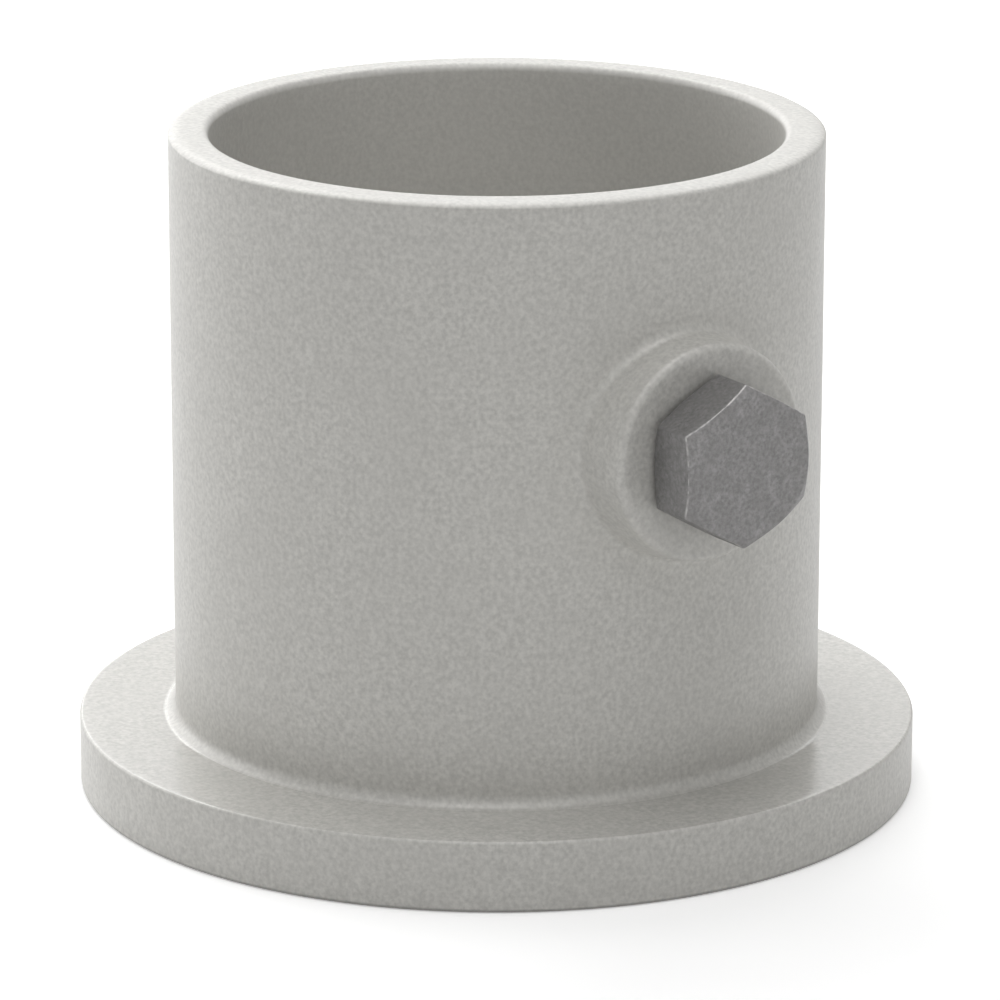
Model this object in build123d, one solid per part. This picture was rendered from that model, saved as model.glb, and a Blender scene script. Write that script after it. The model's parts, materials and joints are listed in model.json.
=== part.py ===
from build123d import *
import math
import os

# Tube clamp base flange, in millimetres.
# +Z runs up along the tube bore, and z = 0 is the underside of the flange.
# +X points out of the socket, through the clamp boss and its bolt.

# Socket: the upright tube of the casting
socket_outer_radius = 29.35
bore_radius = 25.7
socket_height = 60.6
rim_rounding = 0.8

# Flange: the round foot of the casting
flange_radius = 38.1
flange_thickness = 6.5
flange_root_fillet = 1.2
edge_break = 0.4

# Boss: the round pad on the socket wall that gives the thread its length. Its sides have draft,
# and its radius is taken at the face.
boss_radius = 9.65
boss_draft_angle = 6
boss_height = 38.1
boss_face = 33.05
boss_edge_rounding = 0.7
boss_root_fillet = 1.1

# Thread: 5/16 inch, drawn as a plain cylinder in the hole and on the bolt
thread_radius = 3.97
countersink_depth = 0.5

# Bolt: hexagon head, half an inch across the flats, standing just off the boss
head_across_flats = 12.7
head_thickness = 5.16
head_gap = 0.35
head_corner_circle = 6.25
crown_chamfer_angle = 30
seat_chamfer_angle = 20
tip_clearance = 0.05
tip_chamfer = 0.8

head_seat = boss_face + head_gap
bolt_tip = bore_radius + tip_clearance


def on_boss_axis(x):
    """A plane square to the boss axis, x from the tube axis, that faces outwards."""
    return Plane(origin=(x, 0, boss_height), x_dir=(0, 1, 0), z_dir=(1, 0, 0))


def rod(radius, start, end):
    """A round bar along the boss axis, from one distance off the tube axis to another."""
    return extrude(on_boss_axis(start) * Circle(radius), end - start)


def corner_at(section, point):
    """The corner of a flat section that lies nearest to a point."""
    return section.vertices().sort_by_distance((*point, 0))[0]


def turned_casting():
    """Socket and flange: half their section, swept round Z. The underside is faced square."""
    root = (socket_outer_radius, flange_thickness)
    rim = (socket_outer_radius, socket_height)
    mouth = (bore_radius, socket_height)
    shoulder = (flange_radius, flange_thickness)
    outline = Polyline((bore_radius, 0), (flange_radius, 0), shoulder, root, rim, mouth, close=True)
    section = make_face(outline)
    section = fillet(corner_at(section, root), flange_root_fillet)
    section = fillet(corner_at(section, rim), rim_rounding)
    section = chamfer(corner_at(section, shoulder), edge_break)
    section = chamfer(corner_at(section, mouth), edge_break)
    half_plane = Plane(origin=(0, 0, 0), x_dir=(-1, 0, 0), z_dir=(0, 1, 0))
    return revolve(half_plane * section, Axis.Z)


def boss_cone():
    """The boss before it is blended in: a cone that starts inside the socket wall."""
    start = bore_radius + 1
    length = boss_face - start
    start_radius = boss_radius + length * math.tan(math.radians(boss_draft_angle))
    align = (Align.CENTER, Align.CENTER, Align.MIN)
    return on_boss_axis(start) * Cone(start_radius, boss_radius, length, align=align)


def add_boss(casting):
    """The round boss, blended into the curved socket wall and rounded at its rim."""
    joined = casting + boss_cone()
    root = joined.edges().filter_by(GeomType.BSPLINE)
    joined = fillet(root, boss_root_fillet)
    face = joined.faces().filter_by(Axis.X)[0]
    return fillet(face.edges(), boss_edge_rounding)


def base_flange():
    """The casting, with the hole for the bolt drilled through boss and wall."""
    hole = rod(thread_radius, 0, boss_face)
    mouth = on_boss_axis(boss_face) * Cone(
        thread_radius,
        thread_radius + countersink_depth,
        countersink_depth,
        align=(Align.CENTER, Align.CENTER, Align.MAX),
    )
    return add_boss(turned_casting()) - hole - mouth


def head_limits():
    """The turned outline that trims the corners of the hexagon, front and back."""
    corner_radius = head_across_flats / 2 / math.cos(math.radians(30))
    overhang = corner_radius - head_corner_circle
    crown_drop = overhang * math.tan(math.radians(crown_chamfer_angle))
    seat_rise = overhang * math.tan(math.radians(seat_chamfer_angle))
    outline = Polyline(
        (0, 0),
        (head_corner_circle, 0),
        (corner_radius, seat_rise),
        (corner_radius, head_thickness - crown_drop),
        (head_corner_circle, head_thickness),
        (0, head_thickness),
        close=True,
    )
    return revolve(Plane.XZ * make_face(outline), Axis.Z)


def clamp_bolt():
    """Hexagon head bolt with a corner of its head upwards and its tip short of the bore."""
    flats = head_across_flats / 2
    hexagon = RegularPolygon(flats, 6, major_radius=False, rotation=30)
    head = extrude(hexagon, head_thickness) & head_limits()
    shank = rod(thread_radius, bolt_tip, head_seat)
    tip_edge = shank.edges().sort_by(Axis.X)[0]
    return on_boss_axis(head_seat) * head + chamfer(tip_edge, tip_chamfer)


parts = {
    "base_flange": base_flange(),
    "clamp_bolt": clamp_bolt(),
}

os.makedirs("parts", exist_ok=True)
for name, solid in parts.items():
    export_step(solid, f"parts/{name}.step")
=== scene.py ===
import json
import math

import bpy
import numpy as np
from mathutils import Matrix, Vector, noise


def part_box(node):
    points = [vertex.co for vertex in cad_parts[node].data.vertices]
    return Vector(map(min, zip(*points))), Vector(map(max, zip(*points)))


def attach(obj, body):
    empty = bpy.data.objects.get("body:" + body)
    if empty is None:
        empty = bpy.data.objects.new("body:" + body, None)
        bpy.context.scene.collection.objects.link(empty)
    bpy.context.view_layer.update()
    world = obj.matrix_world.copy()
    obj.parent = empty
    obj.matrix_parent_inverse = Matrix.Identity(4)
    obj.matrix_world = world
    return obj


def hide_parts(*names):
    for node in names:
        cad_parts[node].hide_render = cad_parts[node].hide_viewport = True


# The looks of a tube clamp base flange: its casting, its clamp bolt, a pale floor and soft light.
# Lengths are in millimetres until Skin.piece makes a mesh in metres. +Z runs up the tube bore, and
# +X points out through the boss and the bolt.

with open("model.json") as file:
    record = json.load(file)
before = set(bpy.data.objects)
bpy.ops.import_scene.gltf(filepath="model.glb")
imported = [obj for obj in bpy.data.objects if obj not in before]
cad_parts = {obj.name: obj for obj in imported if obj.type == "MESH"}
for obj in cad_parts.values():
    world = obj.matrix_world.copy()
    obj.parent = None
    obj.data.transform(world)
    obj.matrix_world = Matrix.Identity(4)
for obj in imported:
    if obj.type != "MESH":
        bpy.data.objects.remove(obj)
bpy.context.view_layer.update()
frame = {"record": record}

MM = 0.001

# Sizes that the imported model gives
casting_low, casting_high = (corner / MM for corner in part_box("base_flange"))
bolt_low, bolt_high = (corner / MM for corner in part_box("clamp_bolt"))
mounts = {mount["name"]: mount for mount in frame["record"]["mounts"]}
bore_radius = mounts["tube_bore"]["dims"]["r_mm"]
flange_radius = min(casting_high.x, casting_high.y, -casting_low.x, -casting_low.y)
socket_height = casting_high.z
boss_height = (bolt_low.z + bolt_high.z) / 2
bolt_tip = bolt_low.x
head_front = bolt_high.x

# The casting's other sizes, as in the CAD model, and the small edge roundings of its dressing.
# The rim's outer edge is an arc of an ellipse, across and up.
socket_radius = 29.35
flange_thickness = 6.5
root_fillet = 1.2
rim_rounding = (1.3, 0.45)
mouth_rounding = 0.7
flange_edge_rounding = 0.3
foot_edge_rounding = 0.35
boss_radius = 9.65
boss_draft = math.radians(6)
boss_face = 33.05
boss_edge_rounding = 0.7
boss_fillet = 1.1
hole_mouth_radius = 4.47
hole_exit_radius = 4.2

# The bolt: 5/16 inch, 18 threads to the inch. The flats at the thread's crests and roots are
# shares of its pitch, and the thread starts clear of the head and deepens over its run-in.
thread_radius = 3.97
thread_pitch = 25.4 / 18
thread_depth = 0.541 * thread_pitch
crest_share = 1 / 8
root_share = 1 / 4
thread_clearance = 0.03
thread_start = 0.35
thread_run_in = 0.7
head_apothem = 6.35
head_seat = 33.4
head_corner_circle = 6.25
head_corner_rounding = 0.3
head_edge_cut = 0.16
neck_cut = 0.25
crown_angle = math.radians(30)
seat_angle = math.radians(20)
tip_chamfer = 0.8

# How far the cast and the forged skin dip, and how far apart their hollows lie
casting_unevenness, casting_patches = 0.02, 7
bolt_unevenness, bolt_patches = 0.03, 2.2

# How finely the meshes are divided: columns round the tube, cells along each side of the window
# where the boss comes in, points round the boss axis, and rings down the threaded hole
columns = 288
window_cells = 44
ring_points = 4 * window_cells
hole_rings = 66
quarters = (0.25, 0.5, 0.75)

# The bolt's rings: out over its face, over each eased edge, and down its thread. Two eased edges
# follow the face: its own, and the one where the crown's chamfer meets the flats, whose middle
# rings are tinted pale, as rubbed bare and as a painted highlight on that edge.
face_rings = 24
eased_rings = 5
thread_rings = 68
rubbed_highlight_rings = slice(face_rings + eased_rings + 1, face_rings + 2 * eased_rings - 1)


def line(start, end, count):
    """Evenly spaced points from start towards end, which is left out."""
    share = np.arange(count)[:, None] / count
    return np.array(start) * (1 - share) + np.array(end) * share


def arc(centre, radius, first, last, count):
    """Points round a centre from one angle towards another, in degrees, the last left out.

    The radius may be a pair, across and up, for an arc of an ellipse.
    """
    turn = np.radians(np.linspace(first, last, count, endpoint=False))
    return np.array(centre) + np.column_stack((np.cos(turn), np.sin(turn))) * radius


class Skin:
    """A closed surface under construction: its points, and its faces as seen from outside."""

    def __init__(self):
        self.points = []
        self.faces = []

    def add(self, points):
        """Adds an array of points and returns their numbers, in the array's own layout."""
        first = len(self.points)
        self.points.extend(points.reshape(-1, 3))
        return first + np.arange(len(self.points) - first).reshape(points.shape[:-1])

    def join(self, loop, following):
        """Faces between two closed loops, the second to the left of a walk round the first."""
        corners = (loop, np.roll(loop, -1), np.roll(following, -1), following)
        self.faces.extend(zip(*(c.tolist() for c in corners)))

    def join_all(self, loops):
        """Faces between each loop and the next."""
        for loop, following in zip(loops, loops[1:]):
            self.join(loop, following)

    def close(self, loop, middle):
        """A fan of faces from a closed loop to the point at its middle, left of the walk."""
        tip = int(self.add(np.array([middle]))[0])
        self.faces.extend((a, b, tip) for a, b in zip(loop.tolist(), np.roll(loop, -1).tolist()))

    def piece(self, name, node, material, slot, unevenness, patch_size):
        """The finished object, a little uneven as cast or forged, in place of its CAD node."""
        used = sorted({corner for face in self.faces for corner in face})
        number = {old: new for new, old in enumerate(used)}
        mesh = bpy.data.meshes.new(name)
        mesh.from_pydata(
            [tuple(self.points[i] * MM) for i in used],
            [],
            [[number[corner] for corner in face] for face in self.faces],
        )
        for vertex, normal in zip(mesh.vertices, [n.vector.copy() for n in mesh.vertex_normals]):
            hollow = 0.5 - 0.5 * noise.noise(vertex.co / (patch_size * MM))
            vertex.co -= normal * hollow * unevenness * MM
        mesh.shade_smooth()
        mesh.set_sharp_from_angle(angle=math.radians(50))
        mesh.materials.append(material)
        made = bpy.data.objects.new(name, mesh)
        bpy.context.scene.collection.objects.link(made)
        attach(made, "root")
        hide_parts(node)
        return made


# The casting: a section swept round Z, with a square window in each wall where the boss and its
# hole come in, and rings round the boss axis that join the two windows.


def section():
    """Socket and flange in half section, (radius, height), anticlockwise from the bore's foot."""
    foot, edge, mouth = foot_edge_rounding, flange_edge_rounding, mouth_rounding
    outer_half = math.pi * socket_radius * window_cells / columns
    bore_half = math.pi * bore_radius * window_cells / columns
    outer_low, outer_high = boss_height - outer_half, boss_height + outer_half
    bore_low, bore_high = boss_height - bore_half, boss_height + bore_half
    root_top = flange_thickness + root_fillet
    rim_start = np.array((socket_radius, socket_height)) - rim_rounding
    return {
        "underside": line((bore_radius + foot, 0), (flange_radius - foot, 0), 12),
        "foot edge": arc((flange_radius - foot, foot), foot, -90, 0, 4),
        "flange side": line((flange_radius, foot), (flange_radius, flange_thickness - edge), 8),
        "flange edge": arc((flange_radius - edge, flange_thickness - edge), edge, 0, 90, 6),
        "flange top": line(
            (flange_radius - edge, flange_thickness),
            (socket_radius + root_fillet, flange_thickness),
            9,
        ),
        "root": arc((socket_radius + root_fillet, root_top), root_fillet, 270, 180, 8),
        "wall below": line((socket_radius, root_top), (socket_radius, outer_low), 20),
        "wall window": line((socket_radius, outer_low), (socket_radius, outer_high), window_cells),
        "wall above": line((socket_radius, outer_high), (socket_radius, rim_start[1]), 10),
        "rim edge": arc(rim_start, rim_rounding, 0, 90, 10),
        "rim": line((rim_start[0], socket_height), (bore_radius + mouth, socket_height), 4),
        "mouth edge": arc((bore_radius + mouth, socket_height - mouth), mouth, 90, 180, 6),
        "bore above": line((bore_radius, socket_height - mouth), (bore_radius, bore_high), 12),
        "bore window": line((bore_radius, bore_high), (bore_radius, bore_low), window_cells),
        "bore below": line((bore_radius, bore_low), (bore_radius, foot), 28),
        "bore foot": arc((bore_radius + foot, foot), foot, 180, 270, 4),
    }


def swept(outline):
    """A section's points at every column, as [row, column, xyz]. The boss is half way round."""
    turn = np.arange(columns) * math.tau / columns - math.pi
    radius, height = outline[:, :1], outline[:, 1:]
    return np.stack((radius * np.cos(turn), radius * np.sin(turn), height + 0 * turn), axis=2)


def window_rim(numbers, rows, places):
    """The numbers round a window, anticlockwise from outside, from its lower left corner."""
    return np.concatenate(
        (
            numbers[rows[0], places[:-1]],
            numbers[rows[:-1], places[-1]],
            numbers[rows[-1], places[:0:-1]],
            numbers[rows[:0:-1], places[0]],
        )
    )


# Angles round the boss axis, seen from outside, from the window's lower left corner
ring_turn = -0.75 * math.pi + np.arange(ring_points) * math.tau / ring_points


def ring(reach, radius, turn=ring_turn):
    """Points round the boss axis at a distance from the tube axis; both may differ by point."""
    across = radius * np.cos(turn)
    return np.column_stack((reach + 0 * across, across, boss_height + radius * np.sin(turn)))


def wall_reach(wall_radius, radius):
    """How far from the tube's middle plane a round wall lies, at a radius from the boss axis."""
    return np.sqrt(wall_radius**2 - (radius * np.cos(ring_turn)) ** 2)


def along_wall(wall_radius, first, last, count):
    """Rings that lead over a round wall from one loop on it to another, both left out."""
    first_turn = np.arctan2(first[:, 1], first[:, 0])
    last_turn = np.arctan2(last[:, 1], last[:, 0])
    for share in np.arange(1, count) / count:
        turn = (1 - share) * first_turn + share * last_turn
        height = (1 - share) * first[:, 2] + share * last[:, 2]
        yield np.column_stack((wall_radius * np.cos(turn), wall_radius * np.sin(turn), height))


def boss_blend(count):
    """The blend at the boss root, as a ball leaves it that rolls round between boss and wall."""
    slope, lean, upright = math.tan(boss_draft), math.sin(boss_draft), math.cos(boss_draft)
    # The ball's middle lies on a cone outside the boss's sides, widest at the tube's middle plane,
    # and on a round wall outside the socket's: a quadratic in its distance from that plane.
    widest = boss_radius + boss_face * slope + boss_fillet / upright
    sideways = np.cos(ring_turn) ** 2
    square = 1 + slope**2 * sideways
    half = widest * slope * sideways
    rest = widest**2 * sideways - (socket_radius + boss_fillet) ** 2
    ball_reach = (half + np.sqrt(half**2 - square * rest)) / square
    ball_radius = widest - slope * ball_reach
    ball = ring(ball_reach, ball_radius)
    inward = socket_radius / (socket_radius + boss_fillet)
    to_wall = ball * (inward, inward, 1) - ball
    on_boss = ring(ball_reach - boss_fillet * lean, ball_radius - boss_fillet * upright)
    to_boss = on_boss - ball
    bend = np.arccos(np.sum(to_wall * to_boss, axis=1) / boss_fillet**2)[:, None]
    for share in np.arange(count + 1) / count:
        wall_part = np.sin((1 - share) * bend) / np.sin(bend)
        boss_part = np.sin(share * bend) / np.sin(bend)
        yield ball + wall_part * to_wall + boss_part * to_boss


def thread_at(reach, turn):
    """The screw thread's radius, at a distance from the tube axis and an angle round the bolt."""
    place = (reach / thread_pitch - turn / math.tau) % 1
    flank = (np.abs(2 * place - 1) - root_share) / (1 - root_share - crest_share)
    return thread_radius - thread_depth * (1 - np.clip(flank, 0, 1))


def tapped_hole(count):
    """Rings down the hole: a countersink, the thread, and a small chamfer at the bore."""
    exit_reach = wall_reach(bore_radius, hole_exit_radius)
    for share in np.arange(count + 1) / count:
        reach = (1 - share) * boss_face + share * exit_reach
        thread = thread_at(reach, ring_turn) + thread_clearance
        countersink = hole_mouth_radius - (boss_face - reach)
        exit_chamfer = hole_exit_radius - (reach - exit_reach)
        yield ring(reach, np.maximum(thread, np.maximum(countersink, exit_chamfer)))


def boss_rings(outer_rim, bore_rim):
    """All rings between the window in the outer wall and the one in the bore."""
    blend = list(boss_blend(count=8))
    hole = list(tapped_hole(count=hole_rings))
    edge_reach = boss_face - boss_edge_rounding
    edge_radius = boss_radius - boss_edge_rounding * math.tan(math.pi / 4 - boss_draft / 2)
    edge_start = math.degrees(boss_draft)
    edge = arc((edge_radius, edge_reach), boss_edge_rounding, edge_start, 90, 8)
    yield from along_wall(socket_radius, outer_rim, blend[0], count=6)
    yield from blend
    for share in quarters:
        yield (1 - share) * blend[-1] + share * ring(edge[0, 1], edge[0, 0])
    for radius, reach in edge:
        yield ring(reach, radius)
    for radius in np.linspace(edge_radius, hole_mouth_radius, 10, endpoint=False):
        yield ring(boss_face, radius)
    yield from hole
    yield from along_wall(bore_radius, hole[-1], bore_rim, count=8)


def casting(material):
    """The dressed casting: the swept section, and the boss and its hole between the windows."""
    stretches = section()
    starts = dict(zip(stretches, np.cumsum([0] + [len(s) for s in stretches.values()])))
    skin = Skin()
    outline = np.concatenate(list(stretches.values()))
    numbers = skin.add(swept(outline))
    window = np.arange(window_cells + 1)
    places = columns // 2 - window_cells // 2 + window
    outer_rows = starts["wall window"] + window
    bore_rows = starts["bore window"] + window
    ahead = np.roll(numbers, -1, axis=0)
    corners = (numbers, np.roll(numbers, -1, axis=1), np.roll(ahead, -1, axis=1), ahead)
    quads = np.stack(corners, axis=2)
    solid = np.ones(numbers.shape, bool)
    solid[np.ix_(outer_rows[:-1], places[:-1])] = False
    solid[np.ix_(bore_rows[:-1], places[:-1])] = False
    skin.faces.extend(quads[solid].tolist())
    outer_rim = window_rim(numbers, outer_rows, places)
    bore_rim = window_rim(numbers, bore_rows[::-1], places)
    points = np.array(skin.points)
    rings = [skin.add(r) for r in boss_rings(points[outer_rim], points[bore_rim])]
    skin.join_all([outer_rim, *rings, bore_rim])
    surface = (casting_unevenness, casting_patches)
    skin.piece("casting", "base_flange", material, "cast_aluminium", *surface)


# The bolt: rings round its axis from the middle of the head's face to the middle of its tip.


def hexagon(per_flat, per_corner):
    """Angle and radius of points round a hexagon with rounded corners, one of them upwards."""
    flat_half = (head_apothem - head_corner_rounding) * math.tan(math.radians(30))
    corner_distance = (head_apothem - head_corner_rounding) / math.cos(math.radians(30))
    outline = []
    for facing in range(0, 360, 60):
        out = np.array((math.cos(math.radians(facing)), math.sin(math.radians(facing))))
        along = np.array((-out[1], out[0]))
        start, end = head_apothem * out - flat_half * along, head_apothem * out + flat_half * along
        corner = math.radians(facing + 30)
        centre = corner_distance * np.array((math.cos(corner), math.sin(corner)))
        outline.append(line(start, end, per_flat))
        outline.append(arc(centre, head_corner_rounding, facing, facing + 60, per_corner))
    outline = np.concatenate(outline)
    return np.arctan2(outline[:, 1], outline[:, 0]), np.hypot(outline[:, 0], outline[:, 1])


def eased(before, corner, after, cut):
    """Points that take the sharpness off a corner, on every path of a set at once."""
    largest_share = 0.4

    def towards(neighbour):
        """The point a cut away from the corner, or less where its neighbour is near."""
        step = neighbour - corner
        length = np.linalg.norm(step, axis=1, keepdims=True)
        return corner + step * np.minimum(cut / length, largest_share)

    for share in np.linspace(0, 1, eased_rings):
        near = (1 - share) ** 2 * towards(before) + share**2 * towards(after)
        yield near + 2 * share * (1 - share) * corner


def bolt_paths(turn, hexagon_radius):
    """(radius, distance from the tube axis) of each ring of the bolt, from head to tip."""

    def station(radius, reach):
        return np.column_stack((radius + 0 * turn, reach + 0 * turn))

    face_margin = 0.3
    overhang = hexagon_radius - head_corner_circle
    crown = station(head_corner_circle, head_front)
    shoulder = station(hexagon_radius, head_front - overhang * math.tan(crown_angle))
    heel = station(hexagon_radius, head_seat + overhang * math.tan(seat_angle))
    seat = station(head_corner_circle, head_seat)
    neck = station(thread_radius - thread_clearance, head_seat)
    shank = station(thread_radius - thread_clearance, head_seat - 1)
    for radius in np.linspace(face_margin, head_corner_circle - face_margin, face_rings):
        yield station(radius, head_front)
    yield from eased(station(0, head_front), crown, shoulder, head_edge_cut)
    yield from eased(crown, shoulder, heel, head_edge_cut)
    for share in np.arange(1, 8) / 8:
        yield (1 - share) * shoulder + share * heel
    yield from eased(shoulder, heel, seat, head_edge_cut)
    yield from eased(heel, seat, neck, head_edge_cut)
    for share in quarters:
        yield (1 - share) * seat + share * neck
    yield from eased(seat, neck, shank, neck_cut)
    for reach in np.linspace(head_seat - thread_start, bolt_tip, thread_rings):
        run_in = np.clip((head_seat - thread_start - reach) / thread_run_in, 0, 1)
        depth = run_in * (thread_radius - thread_at(reach, turn))
        chamfer = thread_radius - tip_chamfer + (reach - bolt_tip)
        yield station(np.minimum(thread_radius - thread_clearance - depth, chamfer), reach)


def bolt(material):
    """The dressed bolt, with the rubbed edge of its head, also a painted highlight, marked for its
    material.
    """
    turn, hexagon_radius = hexagon(per_flat=20, per_corner=5)
    skin = Skin()
    rings = []
    for path in bolt_paths(turn, hexagon_radius):
        rings.append(skin.add(ring(path[:, 1], path[:, 0], turn)))
    skin.join_all(rings[::-1])
    skin.close(rings[0], (head_front, 0, boss_height))
    skin.close(rings[-1][::-1], (bolt_tip, 0, boss_height))
    surface = (bolt_unevenness, bolt_patches)
    made = skin.piece("clamp_bolt_dressed", "clamp_bolt", material, "bolt_steel", *surface)
    # Every point of this skin is in use, so the rings' numbers hold in the mesh too
    # Painted highlight: the head's rubbed edge is marked here, to be tinted pale as wear and as a
    # painted highlight
    worn_and_highlight = made.data.attributes.new("worn_and_highlight", "FLOAT", "POINT")
    for number in np.concatenate(rings[rubbed_highlight_rings]).tolist():
        worn_and_highlight.data[number].value = 1.0


# Materials


class Nodes:
    """A material's node tree, built in the order in which it is read."""

    def __init__(self, name):
        self.material = bpy.data.materials.new(name)
        self.material.use_nodes = True
        self.tree = self.material.node_tree
        self.shader = self.tree.nodes["Principled BSDF"]

    def node(self, kind, **settings):
        made = self.tree.nodes.new(kind)
        for setting, value in settings.items():
            setattr(made, setting, value)
        return made

    def link(self, output, socket):
        self.tree.links.new(output, socket)

    def noise(self, size, detail=2.0, roughness=0.5):
        """Cloudy noise whose features are of a size in millimetres."""
        made = self.node("ShaderNodeTexNoise")
        made.inputs["Scale"].default_value = 1 / (size * MM)
        made.inputs["Detail"].default_value = detail
        made.inputs["Roughness"].default_value = roughness
        self.link(self.node("ShaderNodeTexCoord").outputs["Object"], made.inputs["Vector"])
        return made.outputs["Fac"]

    def split(self, coordinate):
        """The distance from the Z axis, and Z, of an object coordinate."""
        vector = self.node("ShaderNodeTexCoord").outputs[coordinate]
        flat = self.node("ShaderNodeVectorMath", operation="MULTIPLY")
        flat.inputs[1].default_value = (1, 1, 0)
        self.link(vector, flat.inputs[0])
        length = self.node("ShaderNodeVectorMath", operation="LENGTH")
        self.link(flat.outputs["Vector"], length.inputs[0])
        parts = self.node("ShaderNodeSeparateXYZ")
        self.link(vector, parts.inputs[0])
        return length.outputs["Value"], parts.outputs["Z"]

    def ramp(self, value, first, last, low, high):
        """Runs from low to high as a value runs from first to last, and stays level beyond."""
        made = self.node("ShaderNodeMapRange")
        for setting, number in (
            ("From Min", first),
            ("From Max", last),
            ("To Min", low),
            ("To Max", high),
        ):
            made.inputs[setting].default_value = number
        self.link(value, made.inputs["Value"])
        return made.outputs["Result"]

    def spread(self, value, low, high):
        """Noise, which lies mostly between 0.3 and 0.7, mapped to run from low to high."""
        return self.ramp(value, 0.3, 0.7, low, high)

    def product(self, first, second):
        """Two values multiplied."""
        made = self.node("ShaderNodeMath", operation="MULTIPLY")
        self.link(first, made.inputs[0])
        self.link(second, made.inputs[1])
        return made.outputs[0]

    def tint(self, factor, first, second):
        """A colour between two, by a factor from 0 to 1."""
        made = self.node("ShaderNodeMix", data_type="RGBA")
        self.link(factor, made.inputs["Factor"])
        for socket, colour in (("A", first), ("B", second)):
            target = next(s for s in made.inputs if s.name == socket and s.type == "RGBA")
            if isinstance(colour, bpy.types.NodeSocket):
                self.link(colour, target)
            else:
                target.default_value = (*colour, 1)
        return next(s for s in made.outputs if s.type == "RGBA")

    def bump(self, height, depth, normal=None):
        """Relief of a depth in millimetres, over another relief if there is one."""
        made = self.node("ShaderNodeBump")
        made.inputs["Strength"].default_value = 1.0
        made.inputs["Distance"].default_value = depth * MM
        self.link(height, made.inputs["Height"])
        if normal is not None:
            self.link(normal, made.inputs["Normal"])
        return made.outputs["Normal"]


def cast_aluminium():
    """Matt cast metal, warm grey: fine grain, with faint clouds in its colour and its gloss."""
    dark_grain, pale_grain = (0.515, 0.507, 0.480), (0.695, 0.684, 0.648)
    cloud, bore_painted_light, painted_contact_shadow = (0.57, 0.560, 0.530), (0.71, 0.70, 0.67), (0.20, 0.195, 0.185)
    nodes = Nodes("aluminium_as_cast")
    grain = nodes.noise(0.42, detail=3)
    clouds = nodes.noise(9, detail=3)
    speckle = nodes.tint(nodes.spread(grain, 0, 1), dark_grain, pale_grain)
    colour = nodes.tint(nodes.spread(clouds, 0, 0.35), speckle, cloud)
    off_axis, height = nodes.split("Object")
    # Painted light: the bore's skin is made a little paler, to stand for light that falls inside
    # it
    bore_light_mask = nodes.ramp(off_axis, (bore_radius + 0.1) * MM, (bore_radius + 0.5) * MM, 0.4, 0)
    colour = nodes.tint(bore_light_mask, colour, bore_painted_light)
    # Painted contact shadow: a dark band runs round the foot, where the flange stands on the
    # floor, but not over the underside
    low_down = nodes.ramp(height, 0.1 * MM, 0.4 * MM, 1, 0)
    upward = nodes.split("Normal")[1]
    not_under = nodes.ramp(upward, -0.9, -0.5, 0, 1)
    colour = nodes.tint(nodes.product(low_down, not_under), colour, painted_contact_shadow)
    nodes.link(colour, nodes.shader.inputs["Base Color"])
    # The flange's top is smoother than the rest, and mirrors the socket a little
    on_flange = nodes.ramp(height, (flange_thickness + 1) * MM, (flange_thickness + 2) * MM, 1, 0)
    flange_top = nodes.product(nodes.ramp(upward, 0.9, 0.99, 0, 1), on_flange)
    smoother = nodes.ramp(flange_top, 0, 1, 1, 0.5)
    roughness = nodes.product(nodes.spread(clouds, 0.40, 0.44), smoother)
    nodes.link(roughness, nodes.shader.inputs["Roughness"])
    nodes.shader.inputs["Metallic"].default_value = 0.08
    nodes.link(nodes.bump(grain, 0.016), nodes.shader.inputs["Normal"])
    return nodes.material


def bolt_steel():
    """Plain steel as forged: darker, mottled, a little shinier, and rubbed pale on its edges,
    which is also a painted highlight.
    """
    dark_grain, pale_grain = (0.165, 0.162, 0.161), (0.315, 0.310, 0.308)
    stain, bare_and_highlight = (0.205, 0.199, 0.197), (0.45, 0.44, 0.43)
    nodes = Nodes("steel_as_forged")
    grain = nodes.noise(0.34, detail=4, roughness=0.6)
    stains = nodes.noise(1.6, detail=4, roughness=0.6)
    speckle = nodes.tint(nodes.spread(grain, 0, 1), dark_grain, pale_grain)
    stained = nodes.tint(nodes.spread(stains, 0, 0.6), speckle, stain)
    # Painted highlight: the rubbed edge rings turn pale in patches, as bare steel and as a painted
    # highlight on the edge
    worn_and_highlight = nodes.node("ShaderNodeAttribute", attribute_name="worn_and_highlight")
    patches = nodes.spread(nodes.noise(0.8), -0.4, 1)
    rubbed_and_highlight = nodes.product(worn_and_highlight.outputs["Fac"], patches)
    colour = nodes.tint(rubbed_and_highlight, stained, bare_and_highlight)
    nodes.link(colour, nodes.shader.inputs["Base Color"])
    nodes.link(nodes.spread(stains, 0.42, 0.52), nodes.shader.inputs["Roughness"])
    nodes.shader.inputs["Metallic"].default_value = 0.7
    nodes.link(nodes.bump(grain, 0.04, nodes.bump(stains, 0.04)), nodes.shader.inputs["Normal"])
    return nodes.material


# The surroundings


def direction(azimuth, elevation):
    """A unit vector from the object; azimuth 0 lies along -Y, 90 along +X, both in degrees."""
    a, e = math.radians(azimuth), math.radians(elevation)
    return Vector((math.sin(a) * math.cos(e), -math.cos(a) * math.cos(e), math.sin(e)))


def seen_or_mirrored(tree):
    """1 for what the camera sees, straight or in a mirror or glass, and 0 for other light."""
    path = tree.nodes.new("ShaderNodeLightPath")
    seen = path.outputs["Is Camera Ray"]
    for kind in ("Is Glossy Ray", "Is Transmission Ray"):
        either = tree.nodes.new("ShaderNodeMath")
        either.operation = "MAXIMUM"
        tree.links.new(seen, either.inputs[0])
        tree.links.new(path.outputs[kind], either.inputs[1])
        seen = either.outputs[0]
    return seen


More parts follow.
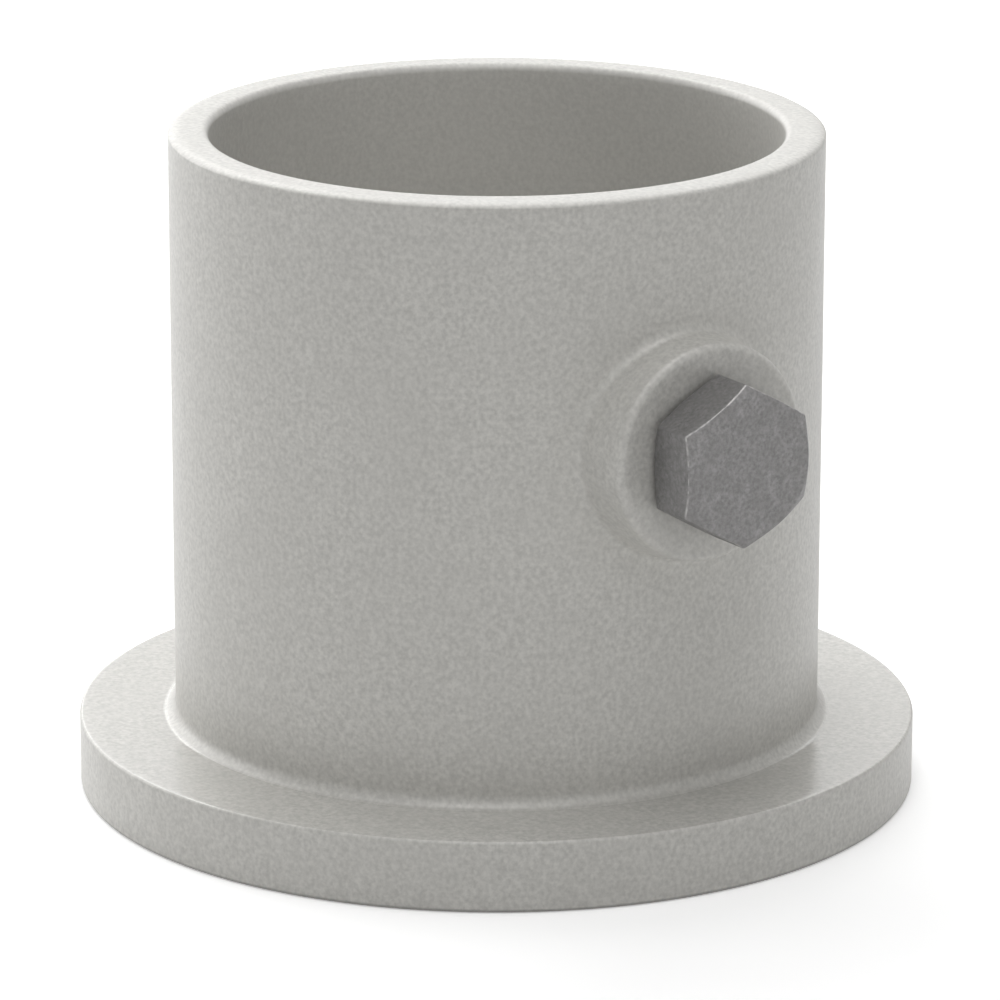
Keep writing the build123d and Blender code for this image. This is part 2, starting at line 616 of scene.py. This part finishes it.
def floor():
    """A broad pale floor just under the flange, which glows only to the eye, so it reads white."""
    half, drop, glow_strength = 3.0, 0.02 * MM, 0.35
    mesh = bpy.data.meshes.new("floor")
    corners = [(x * half, y * half, -drop) for x, y in ((-1, -1), (1, -1), (1, 1), (-1, 1))]
    mesh.from_pydata(corners, [], [(0, 1, 2, 3)])
    nodes = Nodes("floor")
    nodes.shader.inputs["Base Color"].default_value = (0.95, 0.95, 0.95, 1)
    nodes.shader.inputs["Roughness"].default_value = 0.9
    nodes.shader.inputs["Specular IOR Level"].default_value = 0.1
    nodes.shader.inputs["Emission Color"].default_value = (1, 1, 1, 1)
    glow = nodes.node("ShaderNodeMath", operation="MULTIPLY")
    glow.inputs[1].default_value = glow_strength
    nodes.link(seen_or_mirrored(nodes.tree), glow.inputs[0])
    nodes.link(glow.outputs[0], nodes.shader.inputs["Emission Strength"])
    mesh.materials.append(nodes.material)
    made = bpy.data.objects.new("floor", mesh)
    bpy.context.scene.collection.objects.link(made)


def sky(level):
    """White as seen and as mirrored, and at a plain level as light on matt surfaces."""
    world = bpy.data.worlds.new("sky")
    world.use_nodes = True
    bpy.context.scene.world = world
    nodes, links = world.node_tree.nodes, world.node_tree.links
    strength = nodes.new("ShaderNodeMapRange")
    strength.inputs["To Min"].default_value = level
    strength.inputs["To Max"].default_value = 1.0
    links.new(seen_or_mirrored(world.node_tree), strength.inputs["Value"])
    background = nodes["Background"]
    background.inputs["Color"].default_value = (1, 1, 1, 1)
    links.new(strength.outputs["Result"], background.inputs["Strength"])


def softbox(name, azimuth, elevation, watts):
    """A square area lamp that faces the middle of the object."""
    distance, size, aim = 0.9, 0.6, Vector((0, 0, 0.03))
    lamp = bpy.data.lights.new(name, "AREA")
    lamp.shape = "SQUARE"
    lamp.size = size
    lamp.energy = watts
    made = bpy.data.objects.new(name, lamp)
    bpy.context.scene.collection.objects.link(made)
    away = direction(azimuth, elevation)
    made.location = away * distance + aim
    made.rotation_euler = away.to_track_quat("Z", "Y").to_euler()


def camera():
    """A long lens from the bolt's left, looking a little down on the rim: metres and degrees."""
    azimuth, distance, height = 55.99, 0.5361, 0.1847
    down, aside, roll = 16.506, 0.033, 0.066
    data = bpy.data.cameras.new("camera")
    data.sensor_width = 36
    data.lens = 221.78
    made = bpy.data.objects.new("camera", data)
    bpy.context.scene.collection.objects.link(made)
    place = direction(azimuth, 0) * distance + Vector((0, 0, height))
    made.matrix_world = (
        Matrix.Translation(place)
        @ Matrix.Rotation(math.radians(azimuth - aside), 4, "Z")
        @ Matrix.Rotation(math.radians(90 - down), 4, "X")
        @ Matrix.Rotation(math.radians(roll), 4, "Z")
    )
    bpy.context.scene.camera = made


bpy.context.scene.view_settings.view_transform = "Standard"
casting(cast_aluminium())
bolt(bolt_steel())
floor()
sky(level=0.174)
softbox("left", azimuth=-64, elevation=20, watts=1.95)
softbox("back_left", azimuth=-94, elevation=20, watts=1.71)
softbox("back_left_high", azimuth=-94, elevation=50, watts=1.26)
softbox("back_low", azimuth=236, elevation=20, watts=0.37)
softbox("back_high", azimuth=236, elevation=45, watts=1.8)
softbox("overhead", azimuth=56, elevation=88, watts=2.26)
softbox("front_high", azimuth=56, elevation=60, watts=1.29)
softbox("right", azimuth=116, elevation=25, watts=0.27)
camera()
